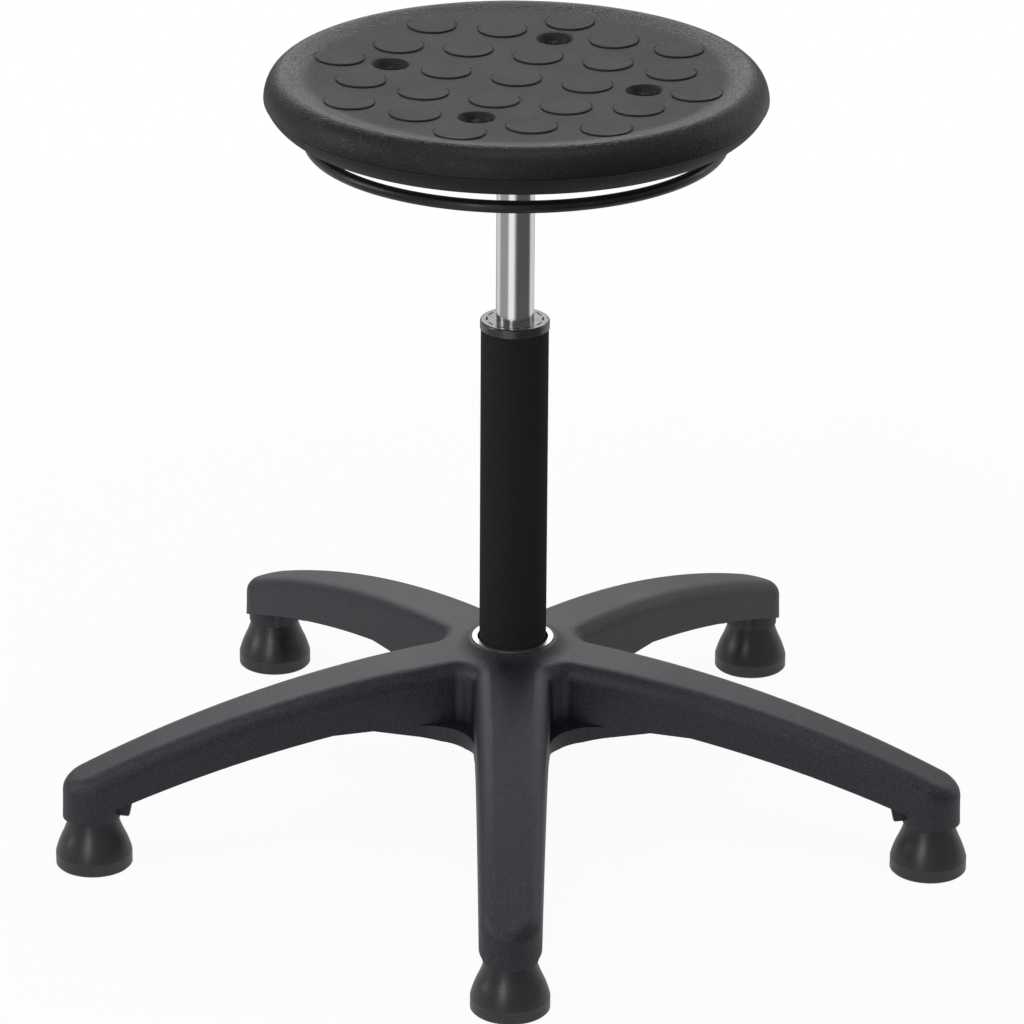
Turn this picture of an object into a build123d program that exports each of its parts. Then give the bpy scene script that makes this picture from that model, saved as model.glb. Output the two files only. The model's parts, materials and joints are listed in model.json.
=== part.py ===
from build123d import *
from math import sqrt, hypot, radians, sin, cos, tan
import os

# Swivel stool: a round foam seat on a gas lift, a wire ring under the seat that
# opens the lift's valve, and a moulded five-arm base on glides.
# Millimetres, +Z up. The origin is on the swivel axis, at floor level.

# Base star
ARM_COUNT = 5
FIRST_ARM_DEG = -90.0
GLIDE_CIRCLE_R = 325.0
ARM_ROOT_W = 63.6
ARM_TIP_W = 45.2
ARM_DRAFT_DEG = 1.5
ARM_EDGE_R = 12.0
ARM_DROP = 60.0
ARM_ROOT_H = 46.6
ARM_TIP_H = 29.6
DROOP_START_R = 150.0
HUB_WALL_R = 60.0
HUB_CORNER_R = 5.0
WEB_CORNER_R = 35.0
WEB_DROP = 11.8
WEB_H = 12.0
WEB_REACH_R = 75.0
WEB_RISE_L = 45.0
BASE_WALL = 4.0
BASE_ROOF = 5.0
RIB_T = 3.0
CROSS_RIBS_R = (112.0, 172.0, 232.0)
SLEEVE_R = 37.0
SLEEVE_DROP = 4.0
HUB_BOSS_R = 33.0
HUB_BOSS_FOOT_R = 46.0
HUB_RISE = 3.8
BOSS_R = 20.0
BOSS_DROP = 8.8
TIP_BLOCK_L = 16.0
FIN_T = 4.0
FIN_L = 12.0
FIN_FOOT_L = 7.6
FIN_RISE = 3.0
FIN_TURN_DEG = 30.0

# Steel ring in the hub's mouth
HUB_RING_R = 30.4
HUB_RING_BORE_R = 26.5
HUB_RING_H = 9.0
HUB_RING_PROUD = 0.8

# Glides, with their stems and grip rings
GLIDE_R = 28.3
GLIDE_H = 38.0
GLIDE_BAND_H = 10.0
GLIDE_NECK_R = 18.3
GLIDE_BULGE = 0.4
GLIDE_EDGE = 1.0
GLIDE_FLOOR_T = 8.0
STEM_R = 5.5
STEM_REACH = 22.0
GRIP_T = 2.0
GRIP_BITE = 0.5
GRIP_DEPTH = 0.8

# Stand tube and its guide bush
TUBE_R = 25.0
TUBE_WALL = 2.2
TUBE_L = 322.0
TUBE_PROUD = 8.0
TUBE_FLOOR_T = 4.0
TUBE_TAPER = 0.025
BUSH_L = 110.0
COLLAR_R = 25.6
COLLAR_H = 6.5
COLLAR_EDGE_R = 1.5
COLLAR_SLOTS = 12
COLLAR_SLOT_L = 7.0
COLLAR_SLOT_W = 1.2
COLLAR_SLOT_R = 20.5

# Gas lift
LIFT_R = 14.0
LIFT_WALL = 1.7
LIFT_L = 289.0
LIFT_SHOWN = 106.0
LIFT_LIP_T = 4.0
LIFT_LIP_R = 7.5
CONE_L = 42.0
CONE_TAPER = 0.022
VALVE_R = 10.4
VALVE_STEP = 16.0
VALVE_FLANGE_H = 10.0
VALVE_SINK = 2.0
PRESSURE_TUBE_R = 11.0
PRESSURE_TUBE_WALL = 1.4
ROD_R = 5.0
ROD_TAIL_R = 4.0
ROD_GUIDE_H = 23.0
ROD_SEAL_H = 8.0
ROD_SEAL_R = 9.0
ROD_L = 223.94
PISTON_H = 12.0
PISTON_SEAL_H = 3.5
PISTON_SEAL_T = 1.6
PISTON_STUD_R = 3.0
PISTON_NUT_H = 5.0
PISTON_NUT_R = 6.0
PIN_R = 3.5
PIN_L = 58.0
PIN_RISE = 5.0
PIN_DOME = 1.2

# Thrust bearing, bumper and the fixings on the rod's tail
RACE_R = 15.5
RACE_T = 2.5
RACE_BORE_R = 6.0
BALL_R = 2.5
BALL_PITCH_R = 11.0
BALL_COUNT = 10
CAGE_W = 6.4
CAGE_T = 2.0
BUMPER_R = 12.0
BUMPER_H = 18.0
END_WASHER_R = 10.0
END_WASHER_T = 2.5
END_CLIP_R = 7.5
END_CLIP_T = 1.5
END_GROOVE_DEPTH = 0.8
ROD_TAIL_END = 4.0

# Seat
SEAT_TURN_DEG = 28.0
SEAT_R = 182.0
SEAT_UNDERCUT = 17.0
LOWER_BAND_H = 16.5
PARTING_STEP = 0.6
LOWER_BAND_BULGE = 2.4
ROLL_R = 20.5
ROLL_LEAN_DEG = 22.0
RIM_W = 34.1
DISH_H = 30.4
DISH_RISE = 2.7
DISH_BLEND_R = 20.0
STUD_R = 18.2
STUD_H = 1.0
STUD_RINGS = ((8, 13.9, 0.0), (8, 35.9, 22.5), (4, 72.9, 0.0), (4, 94.9, 45.0))
DIMPLE_INSET = 52.9
DIMPLE_R = 8.5
DIMPLE_LIP = 2.5
DIMPLE_DEPTH = 7.0
BOARD_LEDGE = 15.0
BOARD_T = 10.0
BOARD_RECESS = 8.0

# Seat tray, taper socket and fixings
TRAY_L = 120.0
TRAY_W = 84.0
TRAY_T = 2.5
TRAY_DEPTH = 36.0
TRAY_CORNER_R = 14.0
TRAY_EDGE_R = 6.0
FLANGE_W = 166.0
FLANGE_CORNER_R = 20.0
SCREW_CIRCLE_R = 95.0
SCREW_R = 3.0
SCREW_HEAD_R = 6.0
SCREW_HEAD_H = 4.0
SCREW_END_GAP = 0.5
WASHER_R = 8.0
WASHER_T = 1.5
TEE_NUT_R = 9.0
TEE_NUT_T = 1.5
TEE_BARREL_R = 4.6
TEE_BARREL_L = 7.0
SOCKET_R = 19.0
SOCKET_GRIP = 5.0
SOCKET_DROP = 21.0
SOCKET_H = 35.0
SOCKET_FLANGE_R = 27.0
SOCKET_FLANGE_T = 3.0

# Release ring and its cross bar
RING_R = 149.6
RING_DROP = 14.3
RING_WIRE_R = 4.5
BAR_WIRE_R = 4.0
BAR_FLAT_L = 150.0
BAR_BEND_R = 20.0
BAR_DROP_ROOM = 8.5

# Clearances
RUN_GAP = 0.06
FIT_GAP = 0.04
BALL_GAP = 0.03
PLAY = 0.3

# Base heights, from the glides up
STAR_REACH = GLIDE_CIRCLE_R + ARM_TIP_W
BOSS_UNDER_Z = GLIDE_H
TIP_UNDER_Z = BOSS_UNDER_Z + BOSS_DROP
TIP_TOP_Z = TIP_UNDER_Z + ARM_TIP_H
CROWN_Z = TIP_TOP_Z + ARM_DROP
ROOT_UNDER_Z = CROWN_Z - ARM_ROOT_H
WEB_UNDER_Z = ROOT_UNDER_Z - WEB_DROP
WEB_TOP_Z = WEB_UNDER_Z + WEB_H
SLEEVE_UNDER_Z = WEB_UNDER_Z - SLEEVE_DROP
HUB_TOP_Z = CROWN_Z + HUB_RISE
HUB_RING_TOP_Z = HUB_TOP_Z + HUB_RING_PROUD
STEM_TOP_Z = BOSS_UNDER_Z + STEM_REACH
GRIP_Z = STEM_TOP_Z - 2.5 * GRIP_T

# Stand and gas lift, from the tube's foot up
TUBE_CONE_Z = HUB_RING_TOP_Z - HUB_RING_H
TUBE_FOOT_Z = SLEEVE_UNDER_Z - TUBE_PROUD
TUBE_TOP_Z = TUBE_FOOT_Z + TUBE_L
TUBE_BORE_R = TUBE_R - TUBE_WALL
LOWER_RACE_Z = TUBE_FOOT_Z + TUBE_FLOOR_T
BALL_Z = LOWER_RACE_Z + RACE_T + BALL_R + BALL_GAP
UPPER_RACE_Z = BALL_Z + BALL_R + BALL_GAP
SHOULDER_Z = UPPER_RACE_Z + RACE_T
PISTON_Z = SHOULDER_Z + ROD_L
PISTON_R = PRESSURE_TUBE_R - PRESSURE_TUBE_WALL - RUN_GAP
END_WASHER_Z = TUBE_FOOT_Z - PLAY - END_WASHER_T
END_CLIP_Z = END_WASHER_Z - END_CLIP_T
LIFT_BORE_R = LIFT_R - LIFT_WALL
CONE_Z = TUBE_TOP_Z + LIFT_SHOWN
CONE_TOP_Z = CONE_Z + CONE_L
VALVE_SEAT_Z = CONE_Z - VALVE_STEP
PIN_TOP_Z = CONE_TOP_Z + PIN_RISE
LIFT_FOOT_Z = CONE_Z - LIFT_L
GUIDE_Z = LIFT_FOOT_Z + LIFT_LIP_T
GUIDE_TOP_Z = GUIDE_Z + ROD_GUIDE_H

# Seat, from the lift's neck up
SOCKET_FOOT_Z = CONE_Z + SOCKET_GRIP
TRAY_Z = SOCKET_FOOT_Z + SOCKET_DROP
BOARD_Z = TRAY_Z + TRAY_DEPTH
BOARD_TOP_Z = BOARD_Z + BOARD_T
FLANGE_Z = BOARD_Z - TRAY_T
WASHER_Z = FLANGE_Z - WASHER_T
SEAT_UNDER_Z = BOARD_Z - BOARD_RECESS
PARTING_Z = SEAT_UNDER_Z + LOWER_BAND_H
DISH_Z = SEAT_UNDER_Z + DISH_H
DISH_R = SEAT_R - RIM_W
SEAT_UNDER_R = SEAT_R - SEAT_UNDERCUT
BOARD_R = SEAT_UNDER_R - BOARD_LEDGE
DIMPLE_CIRCLE_R = DISH_R - DIMPLE_INSET
RING_Z = SEAT_UNDER_Z - RING_DROP
BAR_Z = PIN_TOP_Z + PLAY + BAR_WIRE_R


def revolved(*edges):
    """Turn a closed outline in the XZ plane about the Z axis."""
    return revolve(make_face(list(edges)), Axis.Z)


def turned(points):
    """Turn a closed polygon of (radius, height) points about the Z axis."""
    corners = [(r, 0, z) for r, z in points]
    return revolved(*Polyline(*corners, close=True).edges())


def ring(r_in, r_out, z0, z1):
    return turned([(r_in, z0), (r_out, z0), (r_out, z1), (r_in, z1)])


def disc(r, z0, z1):
    return Pos(0, 0, z0) * extrude(Circle(r), z1 - z0)


def on_arms(shape):
    """Copies of a shape made on the +X axis, one on each arm."""
    turn = 360.0 / ARM_COUNT
    return [Rot(0, 0, FIRST_ARM_DEG + turn * i) * shape for i in range(ARM_COUNT)]


def at_tips(shape):
    """Copies of a shape made on the Z axis, one over each glide."""
    return on_arms(Pos(GLIDE_CIRCLE_R, 0, 0) * shape)


def at_screws(shape):
    """Copies of a shape made on the Z axis, one on each seat screw."""
    return [spot * shape for spot in PolarLocations(SCREW_CIRCLE_R, 4, 45)]


def cap_height(r, r1, z1, r2, z2):
    """Height at radius r of the sphere, centred on the axis, through two rim points."""
    c = (r1**2 - r2**2 + z1**2 - z2**2) / (2 * (z1 - z2))
    return c + sqrt(r1**2 + (z1 - c) ** 2 - r**2)


def top_z(r):
    return cap_height(r, 0.0, CROWN_Z, GLIDE_CIRCLE_R, TIP_TOP_Z)


def under_z(r):
    return cap_height(r, DROOP_START_R, ROOT_UNDER_Z, GLIDE_CIRCLE_R, TIP_UNDER_Z)


def tube_r(z):
    """Outer radius of the stand tube, which tapers where it stands in the hub."""
    return TUBE_R - TUBE_TAPER * max(0.0, TUBE_CONE_Z - z)


def cone_r(z):
    """Outer radius of the gas lift's neck."""
    return LIFT_R - CONE_TAPER * max(0.0, z - CONE_Z)


def star_plan():
    """Plan outline of the base: tapered arms with half-round tips, met by the hub."""
    r0 = ARM_ROOT_W / 2
    r1 = ARM_TIP_W / 2
    slope = (r0 - r1) / GLIDE_CIRCLE_R
    across = sqrt(1 - slope**2)
    root = (r0 * slope, r0 * across)
    tip = (GLIDE_CIRCLE_R + r1 * slope, r1 * across)
    arm = make_face(
        [
            Line(root, tip),
            ThreePointArc(tip, (GLIDE_CIRCLE_R + r1, 0), (tip[0], -tip[1])),
            Line((tip[0], -tip[1]), (root[0], -root[1])),
            Line((root[0], -root[1]), root),
        ]
    )
    plan = Sketch() + Circle(HUB_WALL_R)
    for copy in on_arms(arm):
        plan += copy
    corners = plan.vertices().sort_by(lambda v: v.center().length)[: 2 * ARM_COUNT]
    return fillet(corners, HUB_CORNER_R)


def web_plan():
    """Plan outline of the low web, with one wide curve from arm to arm."""
    half = radians(180.0 / ARM_COUNT)
    lean = (ARM_ROOT_W - ARM_TIP_W) / 2 / GLIDE_CIRCLE_R
    side = ARM_ROOT_W / 2 - (WEB_TOP_Z - BOSS_UNDER_Z) * tan(radians(ARM_DRAFT_DEG))
    meet = side / (sin(half) + lean * cos(half))
    along = meet * cos(half) + WEB_CORNER_R / tan(half + lean)
    plan = Sketch() + Circle(hypot(along, side - lean * along))
    curve = Pos(meet + WEB_CORNER_R / sin(half + lean), 0) * Circle(WEB_CORNER_R)
    for i in range(ARM_COUNT):
        plan -= Rot(0, 0, FIRST_ARM_DEG + 180.0 / ARM_COUNT * (2 * i + 1)) * curve
    return plan


def roof_arc(start_r, drop):
    """The arms' common top line, lowered by drop, from a radius to past the tips."""
    mid_r = (start_r + STAR_REACH) / 2
    return ThreePointArc(*[(r, 0, top_z(r) - drop) for r in (start_r, mid_r, STAR_REACH)])


def arm_body():
    """All that lies between the common underside and the top line, with the rise round the hub's mouth."""
    start = (0, 0, WEB_UNDER_Z)
    knee = (WEB_REACH_R, 0, WEB_UNDER_Z)
    rise = (WEB_REACH_R + WEB_RISE_L, 0, ROOT_UNDER_Z)
    droop = (DROOP_START_R, 0, ROOT_UNDER_Z)
    mid = (DROOP_START_R + STAR_REACH) / 2
    end = (STAR_REACH, 0, under_z(STAR_REACH))
    roof = roof_arc(HUB_BOSS_FOOT_R, 0.0)
    peak = (0, 0, HUB_TOP_Z)
    brow = (HUB_BOSS_R, 0, HUB_TOP_Z)
    return revolved(
        Line(start, knee),
        Line(knee, rise),
        Line(rise, droop),
        ThreePointArc(droop, (mid, 0, under_z(mid)), end),
        Line(end, roof @ 1),
        roof,
        TangentArc(roof @ 0, brow, tangent=(roof % 0) * -1),
        Line(brow, peak),
        Line(peak, start),
    )


def hollow_body():
    """All that lies below the arms' roof."""
    roof = roof_arc(0.0, BASE_ROOF)
    rim = (STAR_REACH, 0, 0)
    return revolved(Line(roof @ 1, rim), Line(rim, (0, 0, 0)), Line((0, 0, 0), roof @ 0), roof)


def raised(plan):
    """A plan outline drawn up from the lowest tip, narrowed by the mould's draft."""
    return Pos(0, 0, BOSS_UNDER_Z) * extrude(plan, HUB_TOP_Z - BOSS_UNDER_Z, taper=ARM_DRAFT_DEG)


def rounded_crown(block, edge_r):
    crown = block.faces().filter_by(GeomType.SPHERE).sort_by(Axis.Z)[-1]
    return fillet(crown.outer_wire().edges(), edge_r)


def base_ribs():
    """Sleeve, tips and ribs that stay solid inside the hollow star."""
    keep = [disc(SLEEVE_R, 0, HUB_TOP_Z)]
    spine = Box(GLIDE_CIRCLE_R, RIB_T, HUB_TOP_Z, align=(Align.MIN, Align.CENTER, Align.MIN))
    keep += on_arms(spine)
    tip = Box(STAR_REACH, 2 * ARM_TIP_W, HUB_TOP_Z, align=(Align.MIN, Align.CENTER, Align.MIN))
    keep += on_arms(Pos(GLIDE_CIRCLE_R - TIP_BLOCK_L, 0, 0) * tip)
    cross = Box(RIB_T, 2 * ARM_ROOT_W, HUB_TOP_Z, align=(Align.CENTER, Align.CENTER, Align.MIN))
    for r in CROSS_RIBS_R:
        keep += on_arms(Pos(r, 0, 0) * cross)
    return keep


def tip_fins():
    """Two gussets on the hub side of a tip boss."""
    root = BOSS_R - RIB_T
    low = BOSS_UNDER_Z + FIN_RISE
    high = under_z(GLIDE_CIRCLE_R - BOSS_R - FIN_L) + BASE_WALL
    side = Polyline(
        (root, 0, low), (BOSS_R + FIN_FOOT_L, 0, low), (BOSS_R + FIN_L, 0, high), (root, 0, high), close=True
    )
    fin = extrude(make_face(side.edges()), FIN_T / 2, dir=(0, 1, 0), both=True)
    return Rot(0, 0, 180 - FIN_TURN_DEG) * fin + Rot(0, 0, 180 + FIN_TURN_DEG) * fin


def stem_bore():
    """Blind hole in a tip boss, with the groove that the grip ring springs into."""
    hole = disc(STEM_R + FIT_GAP, 0, STEM_TOP_Z + PLAY)
    return hole + disc(STEM_R + GRIP_BITE + FIT_GAP, GRIP_Z - FIT_GAP, GRIP_Z + GRIP_T + FIT_GAP)


def hub_bore():
    """Tapered hole for the tube's foot, with the steel ring's seat above it."""
    mouth = disc(HUB_RING_R + FIT_GAP, TUBE_CONE_Z, HUB_RING_TOP_Z)
    foot_r = tube_r(SLEEVE_UNDER_Z) + FIT_GAP
    cone = turned(
        [(0, SLEEVE_UNDER_Z), (foot_r, SLEEVE_UNDER_Z), (TUBE_R + FIT_GAP, TUBE_CONE_Z), (0, TUBE_CONE_Z)]
    )
    return mouth + cone


def base_star():
    plan = star_plan()
    body = arm_body()
    star = rounded_crown(raised(plan) & body, ARM_EDGE_R)
    low_plan = web_plan()
    star += extrude(low_plan, WEB_TOP_Z) & body
    hollow = rounded_crown(raised(offset(plan, -BASE_WALL)) & hollow_body(), ARM_EDGE_R - BASE_WALL)
    hollow += extrude(offset(low_plan, -BASE_WALL), WEB_TOP_Z - BASE_ROOF)
    star -= hollow - base_ribs()
    star += disc(SLEEVE_R, SLEEVE_UNDER_Z, WEB_TOP_Z)
    star += at_tips(disc(BOSS_R, BOSS_UNDER_Z, TIP_UNDER_Z + BASE_WALL))
    star += at_tips(tip_fins())
    star -= [hub_bore()] + at_tips(stem_bore())
    return star


def hub_ring():
    return ring(HUB_RING_BORE_R, HUB_RING_R, TUBE_CONE_Z, HUB_RING_TOP_Z)


def glide():
    """Bell-shaped foot with a blind socket for its stem."""
    spread = GLIDE_R - GLIDE_NECK_R
    rise = BOSS_UNDER_Z - GLIDE_BAND_H
    hip = (GLIDE_R - spread / 4 + GLIDE_BULGE, 0, GLIDE_BAND_H + rise / 4)
    waist = (GLIDE_R - spread / 2, 0, GLIDE_BAND_H + rise / 2)
    throat = (GLIDE_NECK_R + spread / 4 - GLIDE_BULGE, 0, BOSS_UNDER_Z - rise / 4)
    socket_r = STEM_R + FIT_GAP
    low = Polyline((0, 0, 0), (GLIDE_R - GLIDE_EDGE, 0, 0), (GLIDE_R, 0, GLIDE_EDGE), (GLIDE_R, 0, GLIDE_BAND_H))
    skirt = ThreePointArc((GLIDE_R, 0, GLIDE_BAND_H), hip, waist)
    neck = ThreePointArc(waist, throat, (GLIDE_NECK_R, 0, BOSS_UNDER_Z))
    high = Polyline(
        (GLIDE_NECK_R, 0, BOSS_UNDER_Z),
        (socket_r, 0, BOSS_UNDER_Z),
        (socket_r, 0, GLIDE_FLOOR_T),
        (0, 0, GLIDE_FLOOR_T),
        (0, 0, 0),
    )
    return revolved(*low.edges(), skirt, neck, *high.edges())


def stem():
    groove = ring(STEM_R - GRIP_DEPTH, 2 * STEM_R, GRIP_Z - FIT_GAP, GRIP_Z + GRIP_T + FIT_GAP)
    return disc(STEM_R, GLIDE_FLOOR_T, STEM_TOP_Z) - groove


def grip_ring():
    """Spring ring with a slit, sprung into the boss's groove."""
    hoop = ring(STEM_R - GRIP_DEPTH + FIT_GAP, STEM_R + GRIP_BITE, GRIP_Z, GRIP_Z + GRIP_T)
    slit = Pos(STEM_R, 0, GRIP_Z + GRIP_T / 2) * Box(2 * STEM_R, 2 * GRIP_DEPTH, 2 * GRIP_T)
    return hoop - slit


def stand_tube():
    """Tube with a tapered, floored foot."""
    foot_r = tube_r(TUBE_FOOT_Z)
    floor_z = TUBE_FOOT_Z + TUBE_FLOOR_T
    return turned(
        [
            (RACE_BORE_R, TUBE_FOOT_Z),
            (foot_r, TUBE_FOOT_Z),
            (TUBE_R, TUBE_CONE_Z),
            (TUBE_R, TUBE_TOP_Z),
            (TUBE_BORE_R, TUBE_TOP_Z),
            (TUBE_BORE_R, TUBE_CONE_Z),
            (tube_r(floor_z) - TUBE_WALL, floor_z),
            (RACE_BORE_R, floor_z),
        ]
    )


def guide_bush():
    """Long plastic bush that the lift slides and turns in, with its collar."""
    bore_r = LIFT_R + RUN_GAP
    bush = ring(bore_r, TUBE_BORE_R - FIT_GAP, TUBE_TOP_Z - BUSH_L, TUBE_TOP_Z + COLLAR_H / 2)
    collar = disc(COLLAR_R, TUBE_TOP_Z, TUBE_TOP_Z + COLLAR_H)
    collar = fillet(collar.edges().group_by(Axis.Z)[-1], COLLAR_EDGE_R)
    bush += collar - disc(bore_r, TUBE_TOP_Z, TUBE_TOP_Z + COLLAR_H)
    slot = Box(COLLAR_SLOT_W, COLLAR_SLOT_L, COLLAR_H / 2)
    for spot in PolarLocations(COLLAR_SLOT_R, COLLAR_SLOTS):
        bush -= Pos(0, 0, TUBE_TOP_Z + COLLAR_H) * spot * slot
    return bush


def lower_race():
    return ring(RACE_BORE_R, RACE_R, LOWER_RACE_Z, LOWER_RACE_Z + RACE_T)


def upper_race():
    return ring(ROD_TAIL_R + FIT_GAP, RACE_R, UPPER_RACE_Z, UPPER_RACE_Z + RACE_T)


def bearing_balls():
    return [spot * Pos(0, 0, BALL_Z) * Sphere(BALL_R) for spot in PolarLocations(BALL_PITCH_R, BALL_COUNT)]


def ball_cage():
    cage = ring(BALL_PITCH_R - CAGE_W / 2, BALL_PITCH_R + CAGE_W / 2, BALL_Z - CAGE_T / 2, BALL_Z + CAGE_T / 2)
    pocket = disc(BALL_R + RUN_GAP, BALL_Z - CAGE_T, BALL_Z + CAGE_T)
    return cage - [spot * pocket for spot in PolarLocations(BALL_PITCH_R, BALL_COUNT)]


def bumper():
    return ring(ROD_R + PLAY, BUMPER_R, SHOULDER_Z, SHOULDER_Z + BUMPER_H)


def piston_rod():
    """Rod with a thin tail through the bearing and a stud for the piston."""
    stud_top = PISTON_Z + PISTON_H + PISTON_NUT_H + FIT_GAP
    rod = disc(ROD_TAIL_R, END_CLIP_Z - ROD_TAIL_END, SHOULDER_Z)
    rod += disc(ROD_R, SHOULDER_Z, PISTON_Z)
    rod += disc(PISTON_STUD_R, PISTON_Z, stud_top)
    return rod - ring(ROD_TAIL_R - END_GROOVE_DEPTH, END_CLIP_R, END_CLIP_Z, END_CLIP_Z + END_CLIP_T)


def end_washer():
    return ring(ROD_TAIL_R + FIT_GAP, END_WASHER_R, END_WASHER_Z, END_WASHER_Z + END_WASHER_T)


def end_clip():
    """Open clip in the groove of the rod's tail."""
    grip_r = ROD_TAIL_R - END_GROOVE_DEPTH + FIT_GAP
    clip = ring(grip_r, END_CLIP_R, END_CLIP_Z, END_CLIP_Z + END_CLIP_T)
    mouth = Box(END_CLIP_R, 2 * grip_r, 4 * END_CLIP_T, align=(Align.MIN, Align.CENTER, Align.CENTER))
    return clip - Pos(0, 0, END_CLIP_Z) * mouth


def piston_groove(gap):
    z = PISTON_Z + (PISTON_H - PISTON_SEAL_H) / 2
    return ring(PISTON_R - PISTON_SEAL_T + gap, PISTON_R, z + gap, z + PISTON_SEAL_H - gap)


def piston():
    return ring(PISTON_STUD_R + FIT_GAP, PISTON_R, PISTON_Z, PISTON_Z + PISTON_H) - piston_groove(0.0)


def piston_seal():
    return piston_groove(FIT_GAP)


def piston_nut():
    z = PISTON_Z + PISTON_H
    nut = Pos(0, 0, z) * extrude(RegularPolygon(PISTON_NUT_R, 6), PISTON_NUT_H)
    return nut - disc(PISTON_STUD_R + FIT_GAP, z, z + PISTON_NUT_H)


def gas_cylinder():
    """Polished cylinder with an inturned foot and a tapered neck."""
    valve_r = VALVE_R + FIT_GAP
    return turned(
        [
            (LIFT_LIP_R, LIFT_FOOT_Z),
            (LIFT_BORE_R, LIFT_FOOT_Z),
            (LIFT_R, LIFT_FOOT_Z + LIFT_WALL),
            (LIFT_R, CONE_Z),
            (cone_r(CONE_TOP_Z), CONE_TOP_Z),
            (valve_r, CONE_TOP_Z),
            (valve_r, VALVE_SEAT_Z),
            (LIFT_BORE_R, VALVE_SEAT_Z),
            (LIFT_BORE_R, GUIDE_Z),
            (LIFT_LIP_R, GUIDE_Z),
        ]
    )


def pressure_tube():
    bore_r = PRESSURE_TUBE_R - PRESSURE_TUBE_WALL
    return ring(bore_r, PRESSURE_TUBE_R, GUIDE_TOP_Z, VALVE_SEAT_Z - VALVE_FLANGE_H)


def rod_guide():
    guide = ring(ROD_R + RUN_GAP, LIFT_BORE_R - FIT_GAP, GUIDE_Z, GUIDE_TOP_Z)
    return guide - disc(ROD_SEAL_R + FIT_GAP, GUIDE_Z, GUIDE_Z + ROD_SEAL_H)


def rod_seal():
    return ring(ROD_R + RUN_GAP, ROD_SEAL_R, GUIDE_Z, GUIDE_Z + ROD_SEAL_H)


def valve_body():
    """Valve that fills the neck, held by its flange against the neck's step."""
    bore_r = PIN_R + RUN_GAP
    body = ring(bore_r, VALVE_R, VALVE_SEAT_Z, CONE_TOP_Z - VALVE_SINK)
    return body + ring(bore_r, LIFT_BORE_R - FIT_GAP, VALVE_SEAT_Z - VALVE_FLANGE_H, VALVE_SEAT_Z)


def valve_pin():
    """Pin with a domed top, which the bar presses."""
    foot = (0, 0, PIN_TOP_Z - PIN_L)
    edge = (PIN_R, 0, PIN_TOP_Z - PIN_L)
    brow = (PIN_R, 0, PIN_TOP_Z - PIN_DOME)
    peak = (0, 0, PIN_TOP_Z)
    dome = TangentArc(peak, brow, tangent=(1, 0, 0))
    return revolved(Line(foot, edge), Line(edge, brow), dome, Line(peak, foot))


def taper_socket():
    """Turned socket that wedges on the lift's neck, with the flange under the tray."""
    top = SOCKET_FOOT_Z + SOCKET_H
    return turned(
        [
            (cone_r(SOCKET_FOOT_Z) + FIT_GAP, SOCKET_FOOT_Z),
            (SOCKET_R, SOCKET_FOOT_Z),
            (SOCKET_R, TRAY_Z - SOCKET_FLANGE_T),
            (SOCKET_FLANGE_R, TRAY_Z - SOCKET_FLANGE_T),
            (SOCKET_FLANGE_R, TRAY_Z),
            (SOCKET_R, TRAY_Z),
            (SOCKET_R, top),
            (cone_r(top) + FIT_GAP, top),
        ]
    )


def pan(length, width, corner_r, z0, z1, edge_r):
    """Rounded block with its lower edge rounded off."""
    block = Pos(0, 0, z0) * extrude(RectangleRounded(length, width, corner_r), z1 - z0)
    return fillet(block.edges().group_by(Axis.Z)[0], edge_r)


def seat_tray():
    """Pressed pan with a flange, a slot in each end wall and the socket's hole."""
    inner_l = TRAY_L - 2 * TRAY_T
    inner_w = TRAY_W - 2 * TRAY_T
    tray = pan(TRAY_L, TRAY_W, TRAY_CORNER_R, TRAY_Z, BOARD_Z, TRAY_EDGE_R)
    tray += Pos(0, 0, FLANGE_Z) * extrude(RectangleRounded(FLANGE_W, FLANGE_W, FLANGE_CORNER_R), TRAY_T)
    tray -= pan(inner_l, inner_w, TRAY_CORNER_R - TRAY_T, TRAY_Z + TRAY_T, BOARD_Z, TRAY_EDGE_R - TRAY_T)
    slot_top = BAR_Z + BAR_WIRE_R + PLAY
    slot_low = BAR_Z - BAR_WIRE_R - BAR_DROP_ROOM
    slot = Box(TRAY_L + TRAY_T, 2 * (BAR_WIRE_R + PLAY), slot_top - slot_low)
    tray -= Pos(0, 0, (slot_top + slot_low) / 2) * slot
    tray -= disc(SOCKET_R + FIT_GAP, TRAY_Z, TRAY_Z + TRAY_T)
    return tray - at_screws(disc(SCREW_R + PLAY, FLANGE_Z, BOARD_Z))


def release_ring():
    """Wire ring with a cranked cross bar that passes through the tray's slots."""
    path = FilletPolyline(
        (-RING_R, 0, RING_Z),
        (-BAR_FLAT_L / 2, 0, BAR_Z),
        (BAR_FLAT_L / 2, 0, BAR_Z),
        (RING_R, 0, RING_Z),
        radius=BAR_BEND_R,
    )
    section = Plane(origin=path @ 0, z_dir=path % 0) * Circle(BAR_WIRE_R)
    return Pos(0, 0, RING_Z) * Torus(RING_R, RING_WIRE_R) + sweep(section, path=path)


def seat_board():
    hole = disc(TEE_BARREL_R + FIT_GAP, BOARD_Z, BOARD_TOP_Z)
    hole += disc(TEE_NUT_R + FIT_GAP, BOARD_TOP_Z - TEE_NUT_T, BOARD_TOP_Z)
    return disc(BOARD_R, BOARD_Z, BOARD_TOP_Z) - at_screws(hole)


def tee_nut():
    step = BOARD_TOP_Z - TEE_NUT_T
    bore_r = SCREW_R + FIT_GAP
    return ring(bore_r, TEE_NUT_R, step, BOARD_TOP_Z) + ring(bore_r, TEE_BARREL_R, step - TEE_BARREL_L, step)


def screw_washer():
    return ring(SCREW_R + FIT_GAP, WASHER_R, WASHER_Z, FLANGE_Z)


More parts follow.
